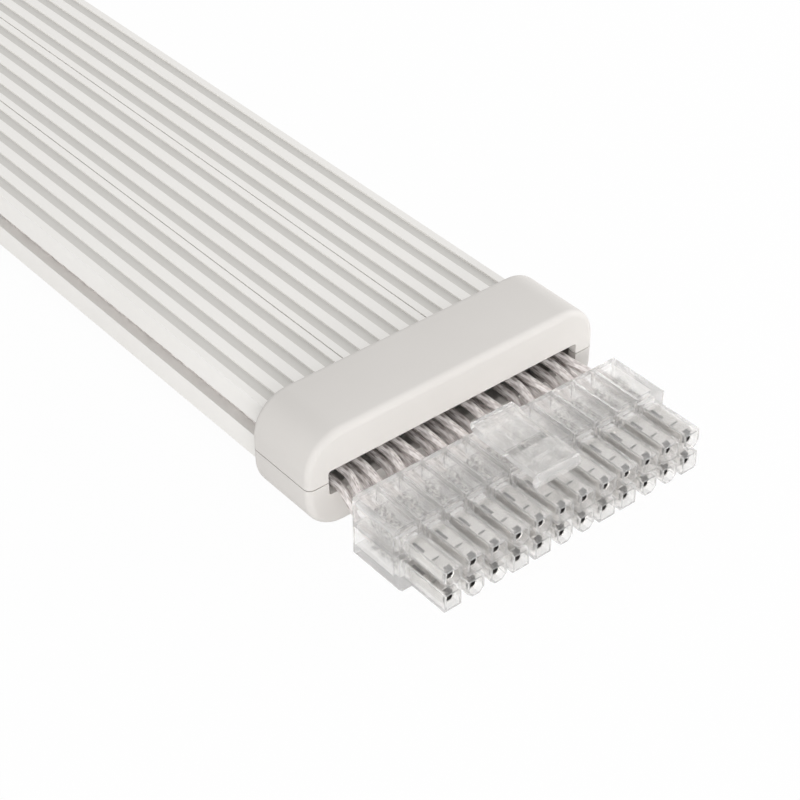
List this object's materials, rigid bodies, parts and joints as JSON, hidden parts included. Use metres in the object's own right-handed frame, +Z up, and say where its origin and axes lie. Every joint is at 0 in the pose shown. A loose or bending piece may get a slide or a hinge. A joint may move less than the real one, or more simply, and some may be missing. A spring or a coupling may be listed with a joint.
{
  "type": "power supply extension cable",
  "caption": "Flat extension cable with clear connectors, braided wires, rounded white covers and long light guides above and below the wires.",
  "frame": {"origin": "centre of the cable on the plane that the two covers rest on", "axes": "+Y along the cable from the receptacle to the plug, +X across the circuits, +Z up through the latch side"},
  "size_m": [0.056, 0.2336, 0.0174],
  "materials": {
    "clear_plastic": "clear, glossy",
    "tinned_metal": "tin plated, bright",
    "braided_sleeve": "braided monofilament with a silvery sheen",
    "cover_plastic": "smooth matte white",
    "white_silicone": "matte white silicone",
    "guide_core": "frosted translucent grey",
    "board_white": "white solder mask",
    "led_lens": "clear lens over a yellowish chip"
  },
  "bodies": {
    "root": {"far_board_lower": "board_white", "far_board_upper": "board_white", "far_cover_lower_shell": "cover_plastic", "far_cover_upper_shell": "cover_plastic", "far_leds_lower": "led_lens", "far_leds_upper": "led_lens", "guide_strips_lower_1": "guide_core", "guide_strips_lower_2": "guide_core", "guide_strips_lower_3": "guide_core", "guide_strips_upper_1": "guide_core", "guide_strips_upper_2": "guide_core", "guide_strips_upper_3": "guide_core", "light_guide_lower_1": "white_silicone", "light_guide_lower_2": "white_silicone", "light_guide_lower_3": "white_silicone", "light_guide_upper_1": "white_silicone", "light_guide_upper_2": "white_silicone", "light_guide_upper_3": "white_silicone", "near_board_lower": "board_white", "near_board_upper": "board_white", "near_cover_lower_shell": "cover_plastic", "near_cover_upper_shell": "cover_plastic", "near_leds_lower": "led_lens", "near_leds_upper": "led_lens", "plug_housing": "clear_plastic", "plug_pins_lower_row": "tinned_metal", "plug_pins_upper_row": "tinned_metal", "receptacle_housing": "clear_plastic", "receptacle_terminals_lower_row": "tinned_metal", "receptacle_terminals_upper_row": "tinned_metal", "wire_lower_01": "braided_sleeve", "wire_lower_02": "braided_sleeve", "wire_lower_03": "braided_sleeve", "wire_lower_04": "braided_sleeve", "wire_lower_05": "braided_sleeve", "wire_lower_06": "braided_sleeve", "wire_lower_07": "braided_sleeve", "wire_lower_08": "braided_sleeve", "wire_lower_09": "braided_sleeve", "wire_lower_10": "braided_sleeve", "wire_lower_11": "braided_sleeve", "wire_lower_12": "braided_sleeve", "wire_upper_01": "braided_sleeve", "wire_upper_02": "braided_sleeve", "wire_upper_03": "braided_sleeve", "wire_upper_04": "braided_sleeve", "wire_upper_05": "braided_sleeve", "wire_upper_06": "braided_sleeve", "wire_upper_07": "braided_sleeve", "wire_upper_08": "braided_sleeve", "wire_upper_09": "braided_sleeve", "wire_upper_10": "braided_sleeve", "wire_upper_11": "braided_sleeve", "wire_upper_12": "braided_sleeve"}
  },
  "joints": []
}
